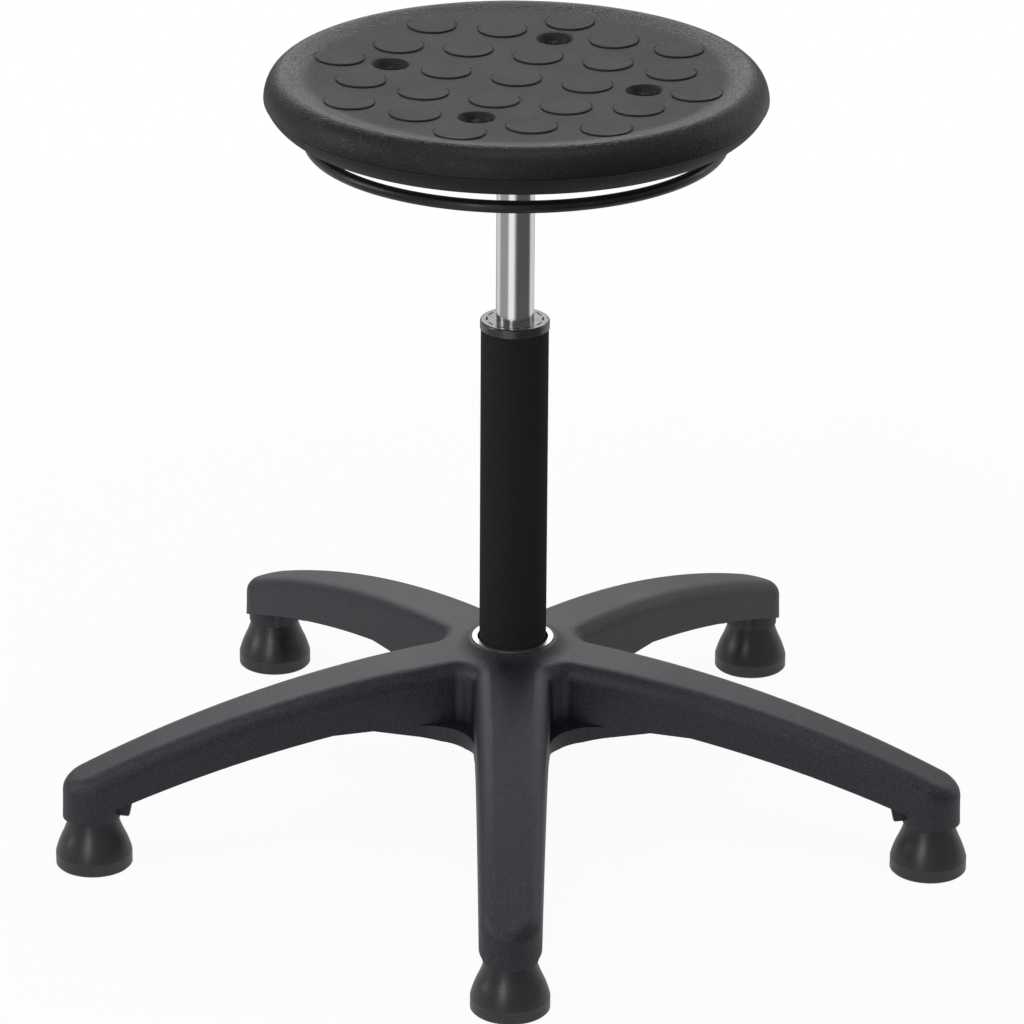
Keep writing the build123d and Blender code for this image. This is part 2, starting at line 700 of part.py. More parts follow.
def seat_screw():
    shank = disc(SCREW_R, WASHER_Z, BOARD_TOP_Z - SCREW_END_GAP)
    return shank + Pos(0, 0, WASHER_Z - SCREW_HEAD_H) * extrude(RegularPolygon(SCREW_HEAD_R, 6), SCREW_HEAD_H)


def seat_top(raise_by):
    """The seat's top line: a shallow dish that climbs to the crest of the rolled rim."""
    lean = radians(ROLL_LEAN_DEG)
    roll_c = SEAT_R - ROLL_R
    dish_mid_z = DISH_Z + DISH_RISE / 4 + raise_by
    dish_end = (DISH_R, 0, DISH_Z + DISH_RISE + raise_by)
    crest = (roll_c - ROLL_R * sin(lean), 0, PARTING_Z + ROLL_R * cos(lean) + raise_by)
    dish = ThreePointArc((0, 0, DISH_Z + raise_by), (DISH_R / 2, 0, dish_mid_z), dish_end)
    return dish, Line(dish_end, crest), crest


def seat_cushion():
    """Foam seat round the board: rolled rim, dished top, raised studs and dimples."""
    dish, climb, crest = seat_top(0.0)
    lip = (SEAT_R, 0, PARTING_Z)
    roll_mid = radians(90 + ROLL_LEAN_DEG) / 2
    roll_c = SEAT_R - ROLL_R
    roll = ThreePointArc(crest, (roll_c + ROLL_R * cos(roll_mid), 0, PARTING_Z + ROLL_R * sin(roll_mid)), lip)
    pocket_r = BOARD_R + FIT_GAP
    step = Line(lip, (SEAT_R - PARTING_STEP, 0, PARTING_Z))
    width = SEAT_UNDERCUT - PARTING_STEP
    bulge = LOWER_BAND_BULGE / hypot(width, LOWER_BAND_H)
    belly = (
        SEAT_UNDER_R + width / 2 + bulge * LOWER_BAND_H, 0, SEAT_UNDER_Z + LOWER_BAND_H / 2 - bulge * width
    )
    band = ThreePointArc(step @ 1, belly, (SEAT_UNDER_R, 0, SEAT_UNDER_Z))
    under = Polyline(
        (SEAT_UNDER_R, 0, SEAT_UNDER_Z),
        (pocket_r, 0, SEAT_UNDER_Z),
        (pocket_r, 0, BOARD_TOP_Z),
        (0, 0, BOARD_TOP_Z),
        (0, 0, DISH_Z),
    )
    face = make_face([dish, climb, roll, step, band, *under.edges()])
    seam = face.vertices().sort_by_distance((DISH_R, 0, DISH_Z + DISH_RISE))[:1]
    cushion = revolve(fillet(seam, DISH_BLEND_R), Axis.Z)
    cushion += seat_studs()
    for spot in PolarLocations(DIMPLE_CIRCLE_R, 4, 45):
        cushion -= spot * dimple()
    return cushion


def seat_studs():
    """Raised round studs that follow the dish."""
    dish, climb, crest = seat_top(STUD_H)
    floor_z = DISH_Z - STUD_H
    skirt = Polyline(crest, (crest[0], 0, floor_z), (0, 0, floor_z), (0, 0, DISH_Z + STUD_H))
    cover = revolved(dish, climb, *skirt.edges())
    peg = disc(STUD_R, floor_z, crest[2])
    pegs = [peg]
    for count, inset, start in STUD_RINGS:
        pegs += [spot * peg for spot in PolarLocations(DISH_R - inset, count, start)]
    return [cover & peg for peg in pegs]


def dimple():
    """Blind round hole with a coned mouth."""
    rise = DISH_RISE * (DIMPLE_CIRCLE_R / DISH_R) ** 2
    mouth_z = DISH_Z + rise
    high = mouth_z + DIMPLE_LIP
    return turned(
        [
            (0, mouth_z - DIMPLE_DEPTH),
            (DIMPLE_R, mouth_z - DIMPLE_DEPTH),
            (DIMPLE_R, mouth_z - DIMPLE_LIP),
            (DIMPLE_R + 2 * DIMPLE_LIP, high),
            (0, high),
        ]
    )


def main():
    turn = Rot(0, 0, SEAT_TURN_DEG)
    nodes = {
        "base_star": base_star(),
        "hub_ring": hub_ring(),
        "glide_stems": Compound(at_tips(stem())),
        "grip_rings": Compound(at_tips(grip_ring())),
        "stand_tube": stand_tube(),
        "guide_bush": guide_bush(),
        "lower_race": lower_race(),
        "bearing_balls": Compound(bearing_balls()),
        "ball_cage": ball_cage(),
        "upper_race": upper_race(),
        "bumper": bumper(),
        "piston_rod": piston_rod(),
        "end_washer": end_washer(),
        "end_clip": end_clip(),
        "piston": piston(),
        "piston_seal": piston_seal(),
        "piston_nut": piston_nut(),
        "gas_cylinder": gas_cylinder(),
        "pressure_tube": pressure_tube(),
        "rod_guide": rod_guide(),
        "rod_seal": rod_seal(),
        "valve_body": valve_body(),
        "valve_pin": valve_pin(),
        "taper_socket": taper_socket(),
        "seat_tray": turn * seat_tray(),
        "release_ring": turn * release_ring(),
        "seat_board": turn * seat_board(),
        "tee_nuts": turn * Compound(at_screws(tee_nut())),
        "screw_washers": turn * Compound(at_screws(screw_washer())),
        "seat_screws": turn * Compound(at_screws(seat_screw())),
        "seat_cushion": turn * seat_cushion(),
    }
    for i, foot in enumerate(at_tips(glide())):
        nodes[f"glide_{i + 1}"] = foot
    os.makedirs("parts", exist_ok=True)
    for name, shape in nodes.items():
        export_step(shape, f"parts/{name}.step")


main()
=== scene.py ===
# %% [markdown]
# # A swivel stool
#
# The stool has a round foam seat with studs, a gas lift in a black stand tube, and a
# moulded star base on five glides. Its rigid pieces come from the CAD model, already in
# place and in metres. This lesson sets up the camera and the light, gives every piece a
# finish, and models the one soft piece, the seat, in full detail.

# %% Load the stool
import json
import math

import bpy
from mathutils import Matrix, Vector


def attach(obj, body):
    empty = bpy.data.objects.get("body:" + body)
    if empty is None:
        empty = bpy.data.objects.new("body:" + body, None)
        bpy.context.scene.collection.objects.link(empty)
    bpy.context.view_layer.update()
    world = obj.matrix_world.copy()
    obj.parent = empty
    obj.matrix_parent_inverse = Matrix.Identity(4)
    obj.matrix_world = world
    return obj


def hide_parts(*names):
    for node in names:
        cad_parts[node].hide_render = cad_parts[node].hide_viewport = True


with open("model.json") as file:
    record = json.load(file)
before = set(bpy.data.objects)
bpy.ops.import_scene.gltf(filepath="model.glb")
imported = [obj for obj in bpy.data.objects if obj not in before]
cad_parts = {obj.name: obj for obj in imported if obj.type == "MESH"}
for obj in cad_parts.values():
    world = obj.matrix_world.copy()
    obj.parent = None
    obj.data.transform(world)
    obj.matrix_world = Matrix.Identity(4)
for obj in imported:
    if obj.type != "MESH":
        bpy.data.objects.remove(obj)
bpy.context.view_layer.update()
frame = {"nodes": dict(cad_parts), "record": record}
nodes = frame["nodes"]
scene = bpy.context.scene
scene.view_settings.view_transform = "Standard"

# %% [markdown]
# ## Camera
#
# The photograph was taken from some way off with a long lens, looking down at about 23
# degrees, with the front arm pointing at the viewer. A camera can be turned by eye until
# the arms line up. Here its place and its right and up directions were worked out from
# the five glides, the tube and the seat's outline, so they are simply written down.

# %% Place the camera
CAMERA_PLACE = (0.0, -3.67805, 1.77980)
CAMERA_RIGHT = Vector((0.999975, 0.003021, 0.006463))
CAMERA_UP = Vector((-0.007128, 0.385900, 0.922513))
CAMERA_LENS_MM = 188.9
CAMERA_SIGHT_M = 40.0

bpy.ops.object.select_all(action="DESELECT")
bpy.ops.object.camera_add(location=CAMERA_PLACE)
camera = bpy.context.object
camera.name = "long_lens"
camera_axes = Matrix((CAMERA_RIGHT, CAMERA_UP, CAMERA_RIGHT.cross(CAMERA_UP)))
camera.rotation_euler = camera_axes.transposed().to_euler()
camera.data.lens = CAMERA_LENS_MM
camera.data.clip_end = CAMERA_SIGHT_M
scene.camera = camera
print("camera tilt in degrees:", round(math.degrees(camera.rotation_euler.x), 2))

# %% [markdown]
# ## Shader maths as sums
#
# A finish is a small calculation: this noise times that depth, one minus this mask. With
# bare nodes, such a sum takes many lines. A class that stands for one socket, with the
# usual operators, lets it be written as a sum. Any other node comes from its one method,
# which sets the node's options first and its sockets after that.

# %% A socket that takes part in sums
class Wire:
    """One socket of a node tree."""

    def __init__(self, tree, socket=None):
        self.tree = tree
        self.socket = socket

    def node(self, kind, settings=None, values=None, out=0):
        made = self.tree.nodes.new(kind)
        for key, setting in (settings or {}).items():
            setattr(made, key, setting)
        for key, value in (values or {}).items():
            if isinstance(value, Wire):
                self.tree.links.new(value.socket, made.inputs[key])
            else:
                made.inputs[key].default_value = value
        return Wire(self.tree, made.outputs[out] if len(made.outputs) else None)

    def maths(self, operation, first, second):
        return self.node("ShaderNodeMath", {"operation": operation}, {0: first, 1: second})

    def __add__(self, other):
        return self.maths("ADD", self, other)

    def __radd__(self, other):
        return self.maths("ADD", other, self)

    def __sub__(self, other):
        return self.maths("SUBTRACT", self, other)

    def __rsub__(self, other):
        return self.maths("SUBTRACT", other, self)

    def __mul__(self, other):
        return self.maths("MULTIPLY", self, other)

    def __rmul__(self, other):
        return self.maths("MULTIPLY", other, self)

    def __pow__(self, other):
        return self.maths("POWER", self, other)


print("sums on sockets are ready")

# %% [markdown]
# ## Patterns that every finish shares
#
# Moulded plastic, powder coat and foam skin all break up the light with fine relief.
# Four helpers make the patterns: soft noise, cells with edges, a smooth step between two
# values, and a mix of two colours. Three more stretch coordinates, take them apart and
# measure a distance. All of them work on Object coordinates, which are the stool's own
# metres, so a scale of 1000 gives a grain of about a millimetre.

# %% Noise, cells, steps and colour mixes
def noise(at, scale, detail=2.0, roughness=0.5):
    values = {"Vector": at, "Scale": scale, "Detail": detail, "Roughness": roughness}
    return at.node("ShaderNodeTexNoise", None, values, "Fac")


def cells(at, scale, feature):
    values = {"Vector": at, "Scale": scale}
    return at.node("ShaderNodeTexVoronoi", {"feature": feature}, values, "Distance")


def step(value, low, high, start=0.0, end=1.0):
    """A smooth step from start, below low, to end, above high."""
    values = {"Value": value, "From Min": low, "From Max": high, "To Min": start, "To Max": end}
    return value.node("ShaderNodeMapRange", {"interpolation_type": "SMOOTHSTEP"}, values)


def tint(share, colour, other):
    """A mix of two colours: the first where share is 0, the other where it is 1."""
    values = {0: share, 6: (*colour, 1.0), 7: (*other, 1.0)}
    return share.node("ShaderNodeMix", {"data_type": "RGBA"}, values, 2)


def stretch(at, scale):
    """The same coordinates, scaled along each axis."""
    return at.node("ShaderNodeMapping", None, {"Vector": at, "Scale": scale})


def axes_of(at):
    """The X, Y and Z of the coordinates, as three sockets."""
    split = at.node("ShaderNodeSeparateXYZ", None, {"Vector": at})
    return [Wire(at.tree, socket) for socket in split.socket.node.outputs]


def distance(across, along):
    """How far a point lies from where both values are 0."""
    return (across * across + along * along) ** 0.5


# %% The start and the end of a finish
def new_finish(name):
    """An empty material and its Object coordinates."""
    material = bpy.data.materials.new(name)
    material.use_nodes = True
    material.node_tree.nodes.clear()
    return material, Wire(material.node_tree).node("ShaderNodeTexCoord", out="Object")


def close_finish(at, values, height, depth):
    """Feed a shader, with a relief from the height pattern and its depth in metres."""
    relief = {"Distance": depth, "Height": height}
    values["Normal"] = at.node("ShaderNodeBump", None, relief)
    shader = at.node("ShaderNodeBsdfPrincipled", None, values)
    at.node("ShaderNodeOutputMaterial", None, {"Surface": shader})


finishes = {}
print("helpers for finishes are ready")

# %% [markdown]
# ## Moulded nylon of the base
#
# The star is one moulding of black nylon. Its mould is spark-eroded, which leaves a fine,
# even pebble grain that turns the gloss into a soft, cool grey sheen. Two sizes of noise
# give the grain, and a slow third one makes the sheen a little uneven, as flow in a mould
# does. The larger grain also tints the colour, so that it shows where no lamp is mirrored.

# %% Base nylon
PEBBLE_SCALE = 640.0
NYLON_DARK = (0.002, 0.0018, 0.006)
NYLON_LIGHT = (0.028, 0.0275, 0.040)

finishes["base_nylon"], at = new_finish("base_nylon")
pebble = noise(at, PEBBLE_SCALE, detail=3.0, roughness=0.65)
fine = noise(at, 2600.0)
flow = noise(at, 14.0)
close_finish(
    at,
    {
        "Base Color": tint(step(pebble, 0.36, 0.7), NYLON_DARK, NYLON_LIGHT),
        "Roughness": 0.34 + 0.1 * flow + 0.16 * pebble,
        "Specular IOR Level": 0.74,
        "Specular Tint": (0.955, 0.948, 1.0, 1.0),
    },
    height=0.7 * pebble + 0.3 * fine,
    depth=0.00045,
)
print("nylon grain in mm:", round(1000 / PEBBLE_SCALE, 2))

# %% [markdown]
# ## Glides and collar
#
# The glides are a smoother, harder plastic that scuffs, most of all near the floor. The
# collar on the tube is the glossiest plastic of the stool, with a faint haze. Both get
# slight relief only. The scuffs come from a noise that acts fully on the lowest few
# millimetres and fades to about a third of that above.

# %% Glide plastic
SCUFF_FULL_Z = 0.004
SCUFF_FADED_Z = 0.014
GLIDE_BLACK = (0.016, 0.0155, 0.0205)
GLIDE_SCUFFED = (0.045, 0.045, 0.048)

finishes["glide_plastic"], at = new_finish("glide_plastic")
height_z = axes_of(at)[2]
patches = step(noise(at, 160.0, detail=4.0, roughness=0.7), 0.5, 0.75)
scuff = patches * step(height_z, SCUFF_FULL_Z, SCUFF_FADED_Z, 1.0, 0.35)
fine = noise(at, 1500.0, detail=3.0)
close_finish(
    at,
    {
        "Base Color": tint(scuff, GLIDE_BLACK, GLIDE_SCUFFED),
        "Roughness": 0.29 + 0.1 * fine + 0.2 * scuff,
        "Specular IOR Level": 0.8,
    },
    height=fine,
    depth=0.00006,
)
print("full scuffs up to mm:", round(1000 * SCUFF_FULL_Z))

# %% Collar plastic
finishes["collar_plastic"], at = new_finish("collar_plastic")
haze = noise(at, 90.0, detail=3.0)
fine = noise(at, 1800.0)
close_finish(
    at,
    {
        "Base Color": tint(haze, (0.028, 0.028, 0.029), (0.040, 0.040, 0.041)),
        "Roughness": 0.2 + 0.14 * haze,
        "Specular IOR Level": 0.85,
    },
    height=fine,
    depth=0.00002,
)
print("plastics:", ", ".join(finishes))

# %% [markdown]
# ## Powder-coated steel
#
# The stand tube, the tray and its socket are sprayed with matt black powder, which melts
# to a very fine orange peel. The wire ring has a browner black in a satin grade, rubbed
# in patches by the hands that lift it. Both are dark, so the relief shows only in the
# highlights.

# %% Matt and satin powder coat
finishes["black_tube"], at = new_finish("black_tube")
peel = noise(at, 420.0)
dust = noise(at, 2200.0, detail=3.0)
close_finish(
    at,
    {
        "Base Color": tint(dust, (0.0230, 0.0225, 0.0225), (0.0300, 0.0295, 0.0295)),
        "Roughness": 0.74 + 0.14 * peel,
        "Specular IOR Level": 0.12,
    },
    height=0.7 * peel + 0.3 * dust,
    depth=0.00012,
)

finishes["ring_black"], at = new_finish("ring_black")
peel = noise(at, 520.0)
rubbed = step(noise(at, 45.0, detail=3.0), 0.5, 0.72)
close_finish(
    at,
    {
        "Base Color": tint(rubbed, (0.013, 0.0105, 0.0100), (0.024, 0.0190, 0.0175)),
        "Roughness": 0.34 - 0.1 * rubbed + 0.08 * peel,
    },
    height=peel,
    depth=0.00015,
)
print("powder coats are ready")

# %% [markdown]
# ## Bare metal
#
# The lift's cylinder is hard chrome, ground round and round, so its finest lines run
# across its length. Screws, washers, races and the ring in the hub are zinc-plated steel
# with a faint mottle. The ball cage is brass. Metal has no colour of its own besides its
# reflections, so what varies is mostly the roughness.

# %% Chrome, zinc and brass
finishes["bright_steel"], at = new_finish("bright_steel")
lines = noise(stretch(at, (40.0, 40.0, 9000.0)), 1.0)
smear = noise(at, 30.0, detail=3.0)
close_finish(
    at,
    {
        "Base Color": tint(smear, (0.77, 0.77, 0.785), (0.85, 0.85, 0.86)),
        "Metallic": 1.0,
        "Roughness": 0.1 + 0.1 * lines + 0.05 * smear,
    },
    height=lines,
    depth=0.000004,
)

finishes["plain_steel"], at = new_finish("plain_steel")
spangle = cells(at, 380.0, "F1")
cloud = noise(at, 120.0, detail=4.0)
close_finish(
    at,
    {
        "Base Color": tint(cloud, (0.46, 0.46, 0.47), (0.66, 0.66, 0.66)),
        "Metallic": 1.0,
        "Roughness": 0.26 + 0.12 * cloud + 0.06 * spangle,
    },
    height=cloud,
    depth=0.00002,
)

finishes["brass_cage"], at = new_finish("brass_cage")
cloud = noise(at, 300.0, detail=4.0)
close_finish(
    at,
    {
        "Base Color": tint(cloud, (0.55, 0.38, 0.13), (0.72, 0.54, 0.24)),
        "Metallic": 1.0,
        "Roughness": 0.28 + 0.15 * cloud,
    },
    height=cloud,
    depth=0.00001,
)
print("metals are ready")

# %% [markdown]
# ## Rubber and plywood
#
# Seals and the bumper are black rubber with a dusty bloom. The seat board is birch
# plywood: its plies are about 1.4 mm thick and cross each other, so the grain on the face
# runs one way and the edge shows thin bands, light and dark in turn.

# %% Rubber and plywood
BOARD_T = 0.010
PLY_T = 0.0014

finishes["black_rubber"], at = new_finish("black_rubber")
bloom = noise(at, 220.0, detail=4.0, roughness=0.65)
close_finish(
    at,
    {
        "Base Color": tint(bloom, (0.012, 0.012, 0.012), (0.035, 0.035, 0.034)),
        "Roughness": 0.62 + 0.2 * bloom,
    },
    height=bloom,
    depth=0.00004,
)

finishes["plywood"], at = new_finish("plywood")
ply = at.maths("PINGPONG", axes_of(at)[2], PLY_T)
bands = step(ply, 0.3 * PLY_T, 0.7 * PLY_T)
along = noise(stretch(at, (8.0, 160.0, 160.0)), 1.0, detail=5.0, roughness=0.6)
fibre = noise(stretch(at, (60.0, 1500.0, 1500.0)), 1.0, detail=3.0)
grain = 0.55 * along + 0.25 * fibre + 0.2 * bands
close_finish(
    at,
    {
        "Base Color": tint(grain, (0.36, 0.22, 0.11), (0.66, 0.48, 0.29)),
        "Roughness": 0.55 + 0.15 * fibre,
    },
    height=0.6 * fibre + 0.4 * along,
    depth=0.00008,
)
print("plies in the board:", round(BOARD_T / PLY_T))

# %% [markdown]
# ## Foam skin of the seat
#
# The seat is one piece of polyurethane foam whose outer skin forms against the mould. The
# mould is grained like leather: small warped cells with soft creases. The flat top is
# worn matt, the rolled rim and the four dimples keep a gloss, and the band under the
# parting line is duller again. Masks could be painted by hand. Here they are worked out
# from the height and from the distances to the seat's axis and to the dimples, which
# needs no unwrapped map.

# %% Seat foam, from sizes in mm
MM = 0.001
PARTING_Z = 564.5
SEAT_TURN_DEG = 28.0
DIMPLE_CIRCLE_R = 95.0
LEATHER_SCALE = 430.0
FOAM_DARK = (0.010, 0.0096, 0.0125)
FOAM_LIGHT = (0.019, 0.0182, 0.0222)

finishes["seat_foam"], at = new_finish("seat_foam")
wander_values = {"Vector": at, "Scale": 260.0, "Detail": 2.0}
wander = at.node("ShaderNodeTexNoise", None, wander_values, "Color")
shift_values = {"Vector": wander, "Scale": 2.2 * MM}
shift = at.node("ShaderNodeVectorMath", {"operation": "SCALE"}, shift_values)
warped = at.node("ShaderNodeVectorMath", {"operation": "ADD"}, {0: at, 1: shift})
creases = step(cells(warped, LEATHER_SCALE, "DISTANCE_TO_EDGE"), 0.02, 0.28)
pores = noise(at, 1900.0, detail=3.0, roughness=0.6)
worn = noise(at, 26.0, detail=3.0)

side_x, side_y, height_z = axes_of(at)
on_roll = step(distance(side_x, side_y), 146.0 * MM, 160.0 * MM)
on_band = step(height_z, (PARTING_Z - 1.5) * MM, (PARTING_Z + 0.5) * MM, 1.0, 0.0)

# The dimples lie on the corners of a square that is turned with the seat.
turn = {"Vector": at, "Angle": -math.radians(SEAT_TURN_DEG)}
turned = at.node("ShaderNodeVectorRotate", {"rotation_type": "Z_AXIS"}, turn)
half_square = DIMPLE_CIRCLE_R * MM * math.sqrt(0.5)
off_x, off_y = (at.maths("ABSOLUTE", side, 0.0) - half_square for side in axes_of(turned)[:2])
in_dimple = step(distance(off_x, off_y), 10.0 * MM, 13.0 * MM, 1.0, 0.0)

glossy_parts = 0.18 * on_roll + 0.3 * in_dimple
dull_parts = 0.16 * on_band + 0.1 * worn + 0.05 * pores
close_finish(
    at,
    {
        "Base Color": tint(0.6 * creases + 0.4 * worn, FOAM_DARK, FOAM_LIGHT),
        "Roughness": 0.5 + dull_parts - glossy_parts,
        "Specular IOR Level": 0.3,
        "Specular Tint": (0.98, 0.96, 1.0, 1.0),
    },
    height=0.75 * creases + 0.25 * pores,
    depth=0.22 * MM,
)
print("leather grain in mm:", round(1000 / LEATHER_SCALE, 2))

# %% [markdown]
# ## Dressing the CAD nodes
#
# The record names a material slot for each node, and the finishes carry the same names.
# So one loop gives each node the finish of its slot, and no node is forgotten.

# %% Give every CAD node its finish
for part in frame["record"]["subparts"]:
    piece = nodes[part["node"]]
    finish = finishes[part["material_slot"]]
    if not piece.material_slots:
        piece.data.materials.append(finish)
    for slot in piece.material_slots:
        slot.material = finish

# %% [markdown]
# ## The seat's form
#
# The seat is turned in section: a shallow dish, a crest, a rolled rim, a parting line and
# a band that runs in to the underside. A screw modifier or a spin could turn a drawn
# profile. Here a small circle is extruded and scaled from station to station, which is
# how one would shape a pot by hand, and which keeps the rings of faces even.

# %% A turned form, ring by ring
def clear_choice():
    if bpy.context.object is not None and bpy.context.object.mode == "EDIT":
        bpy.ops.object.mode_set(mode="OBJECT")
    bpy.ops.object.select_all(action="DESELECT")


def turn_form(name, stations, sides):
    """Extrude a circle from one (radius, height) station, in mm, to the next."""
    clear_choice()
    r, z = stations[0]
    bpy.ops.mesh.primitive_circle_add(vertices=sides, radius=r * MM, location=(0, 0, z * MM))
    piece = bpy.context.object
    piece.name = name
    bpy.ops.object.transform_apply(location=True, rotation=True, scale=True)
    bpy.ops.object.mode_set(mode="EDIT")
    bpy.ops.mesh.select_all(action="SELECT")
    for next_r, next_z in stations[1:]:
        grow = next_r / r
        bpy.ops.mesh.extrude_region()
        bpy.ops.transform.resize(value=(grow, grow, 1.0), center_override=(0, 0, z * MM))
        bpy.ops.transform.translate(value=(0, 0, (next_z - z) * MM))
        r, z = next_r, next_z
    # The last ring closes to a point, and then the first one does.
    bpy.ops.mesh.merge(type="CENTER")
    bpy.ops.mesh.select_all(action="DESELECT")
    bpy.ops.object.mode_set(mode="OBJECT")
    for v in piece.data.vertices[:sides]:
        v.select = True
    bpy.ops.object.mode_set(mode="EDIT")
    bpy.ops.mesh.merge(type="CENTER")
    bpy.ops.mesh.select_all(action="SELECT")
    bpy.ops.mesh.normals_make_consistent(inside=False)
    bpy.ops.object.mode_set(mode="OBJECT")
    return piece


def oval(centre, width, height, start_deg, end_deg, count):
    """Stations on an ellipse, from one angle to another."""
    turns = [math.radians(start_deg + (end_deg - start_deg) * i / count) for i in range(count + 1)]
    return [(centre[0] + width * math.cos(t), centre[1] + height * math.sin(t)) for t in turns]


def ease(start, end, start_slope, end_slope, count):
    """Stations on a soft S-curve that leaves and arrives with the given slopes."""
    run = end[0] - start[0]
    made = []
    for i in range(1, count):
        u = i / count
        z = start[1] * (2 * u**3 - 3 * u**2 + 1) + end[1] * (3 * u**2 - 2 * u**3)
        z += run * (start_slope * (u**3 - 2 * u**2 + u) + end_slope * (u**3 - u**2))
        made.append((start[0] + run * u, z))
    return made


print("turned forms are ready")

# %% The seat's stations, from the dish's middle to that of the board's bed
SEAT_R = 182.0
SEAT_SIDES = 192
ROLL_W = 15.0
ROLL_H = 20.0
DISH_Z = 578.4
DISH_R = 147.9
DISH_RISE = 2.7
BAND_CENTRE = (154.06, 575.28)
BAND_R = 29.4
UNDER_Z = 548.0
BOARD_R = 150.04
BOARD_TOP_Z = 566.0


def dish_height(r):
    return DISH_Z + DISH_RISE * (r / DISH_R) ** 2


dish = [(r, dish_height(r)) for r in (1.5, *range(8, 150, 8), 149.0)]
roll = oval((SEAT_R - ROLL_W, PARTING_Z), ROLL_W, ROLL_H, 98.0, 3.0, 28)
crest = ease(dish[-1], roll[0], 0.037, 0.187, 8)
parting = [(181.9, 564.95), (181.5, 564.75), (181.05, 564.5), (181.05, 564.2), (181.35, 563.9)]
band = oval(BAND_CENTRE, BAND_R, BAND_R, -24.0, -67.0, 12)
under = [(164.5, 548.03), (163.0, UNDER_Z), (157.0, UNDER_Z), (151.0, UNDER_Z), (150.3, 548.2)]
board_bed = [(BOARD_R, 549.0), (BOARD_R, 556.0), (BOARD_R, BOARD_TOP_Z)]
board_bed += [(r, BOARD_TOP_Z) for r in (120.0, 60.0, 2.0)]
seat = turn_form("foam_seat", dish + crest + roll + parting + band + under + board_bed, SEAT_SIDES)
print("seat faces before its studs:", len(seat.data.polygons))

# %% [markdown]
# ## Studs
#
# Twenty-five round studs stand a millimetre proud of the dish, and the outer ones bend up
# with the rim. A stud could be a short cylinder, but then it would not follow the curve.
# So each starts as a flat disc with rings of faces, drops onto the seat by Shrinkwrap,
# gets its thickness by Solidify and a soft edge by Bevel. Round each stud runs a shallow
# groove, made the same way from a flat ring, which draws the stud's outline all round.

# %% Copies and modifiers
def on_circle(count, r, start_deg):
    turns = [math.radians(SEAT_TURN_DEG + start_deg + 360.0 / count * i) for i in range(count)]
    return [(r * MM * math.cos(t), r * MM * math.sin(t)) for t in turns]


def use(piece):
    clear_choice()
    piece.select_set(True)
    bpy.context.view_layer.objects.active = piece


def copies(piece, places):
    """Copies of a piece at the given places, each with its own mesh, joined into one."""
    made = []
    for place in places:
        use(piece)
        bpy.ops.object.duplicate(linked=False)
        bpy.context.object.location = place
        made.append(bpy.context.object)
    bpy.data.objects.remove(piece)
    clear_choice()
    for copy in made:
        copy.select_set(True)
    bpy.context.view_layer.objects.active = made[0]
    bpy.ops.object.join()
    bpy.ops.object.transform_apply(location=True, rotation=True, scale=True)
    return bpy.context.object


def apply(piece, kind, **settings):
    """Add a modifier, set it and apply it."""
    use(piece)
    modifier = piece.modifiers.new(kind.lower(), kind)
    for key, setting in settings.items():
        setattr(modifier, key, setting)
    bpy.ops.object.modifier_apply(modifier=modifier.name)


def laid_on(piece, target, thickness, offset):
    """Drop a flat piece onto the target from above and give it a thickness."""
    apply(
        piece,
        "SHRINKWRAP",
        target=target,
        wrap_method="PROJECT",
        use_project_z=True,
        use_negative_direction=True,
        use_positive_direction=False,
    )
    apply(piece, "SOLIDIFY", thickness=thickness * MM, offset=offset, use_even_offset=True)


print("helpers for copies and modifiers are ready")

# %% One disc, copied to every stud's place
STUD_R = 18.2
STUD_H = 1.0
STUD_T = 3.0
STUD_EDGE = 0.85
STUD_SIDES = 72
STUD_INSETS = (0.9, 2.2, 3.5, 3.5, 3.5)
DROP_Z = 620.0
# Each ring of studs: how many, on which radius, and the bearing of the first one.
STUD_RINGS = ((1, 0.0, 0.0), (4, 53.0, 45.0), (4, 75.0, 0.0), (8, 112.0, 22.5), (8, 134.0, 0.0))

stud_places = [(x, y, DROP_Z * MM) for ring in STUD_RINGS for x, y in on_circle(*ring)]
clear_choice()
bpy.ops.mesh.primitive_circle_add(vertices=STUD_SIDES, radius=STUD_R * MM, fill_type="NGON")
bpy.ops.object.mode_set(mode="EDIT")
bpy.ops.mesh.select_all(action="SELECT")
for width in STUD_INSETS:
    bpy.ops.mesh.inset(thickness=width * MM, depth=0.0)
bpy.ops.object.mode_set(mode="OBJECT")
studs = copies(bpy.context.object, stud_places)
studs.name = "studs"
laid_on(studs, seat, STUD_T, 2 * STUD_H / STUD_T - 1)
apply(
    studs,
    "BEVEL",
    width=STUD_EDGE * MM,
    segments=3,
    limit_method="ANGLE",
    angle_limit=math.radians(50),
)
print("studs:", len(stud_places), "faces:", len(studs.data.polygons))

# %% The groove round every stud
GROOVE_INNER_R = STUD_R - 0.3
GROOVE_OUTER_R = STUD_R + 1.1
GROOVE_DEPTH = 0.25

clear_choice()
bpy.ops.mesh.primitive_circle_add(vertices=STUD_SIDES, radius=GROOVE_INNER_R * MM)
bpy.ops.object.mode_set(mode="EDIT")
bpy.ops.mesh.select_all(action="SELECT")
bpy.ops.mesh.extrude_region()
grow = GROOVE_OUTER_R / GROOVE_INNER_R
bpy.ops.transform.resize(value=(grow, grow, 1.0), center_override=(0, 0, 0))
bpy.ops.mesh.select_all(action="SELECT")
bpy.ops.mesh.normals_make_consistent(inside=False)
bpy.ops.object.mode_set(mode="OBJECT")
grooves = copies(bpy.context.object, stud_places)
laid_on(grooves, seat, 2 * GROOVE_DEPTH, 0.0)
print("groove faces:", len(grooves.data.polygons))

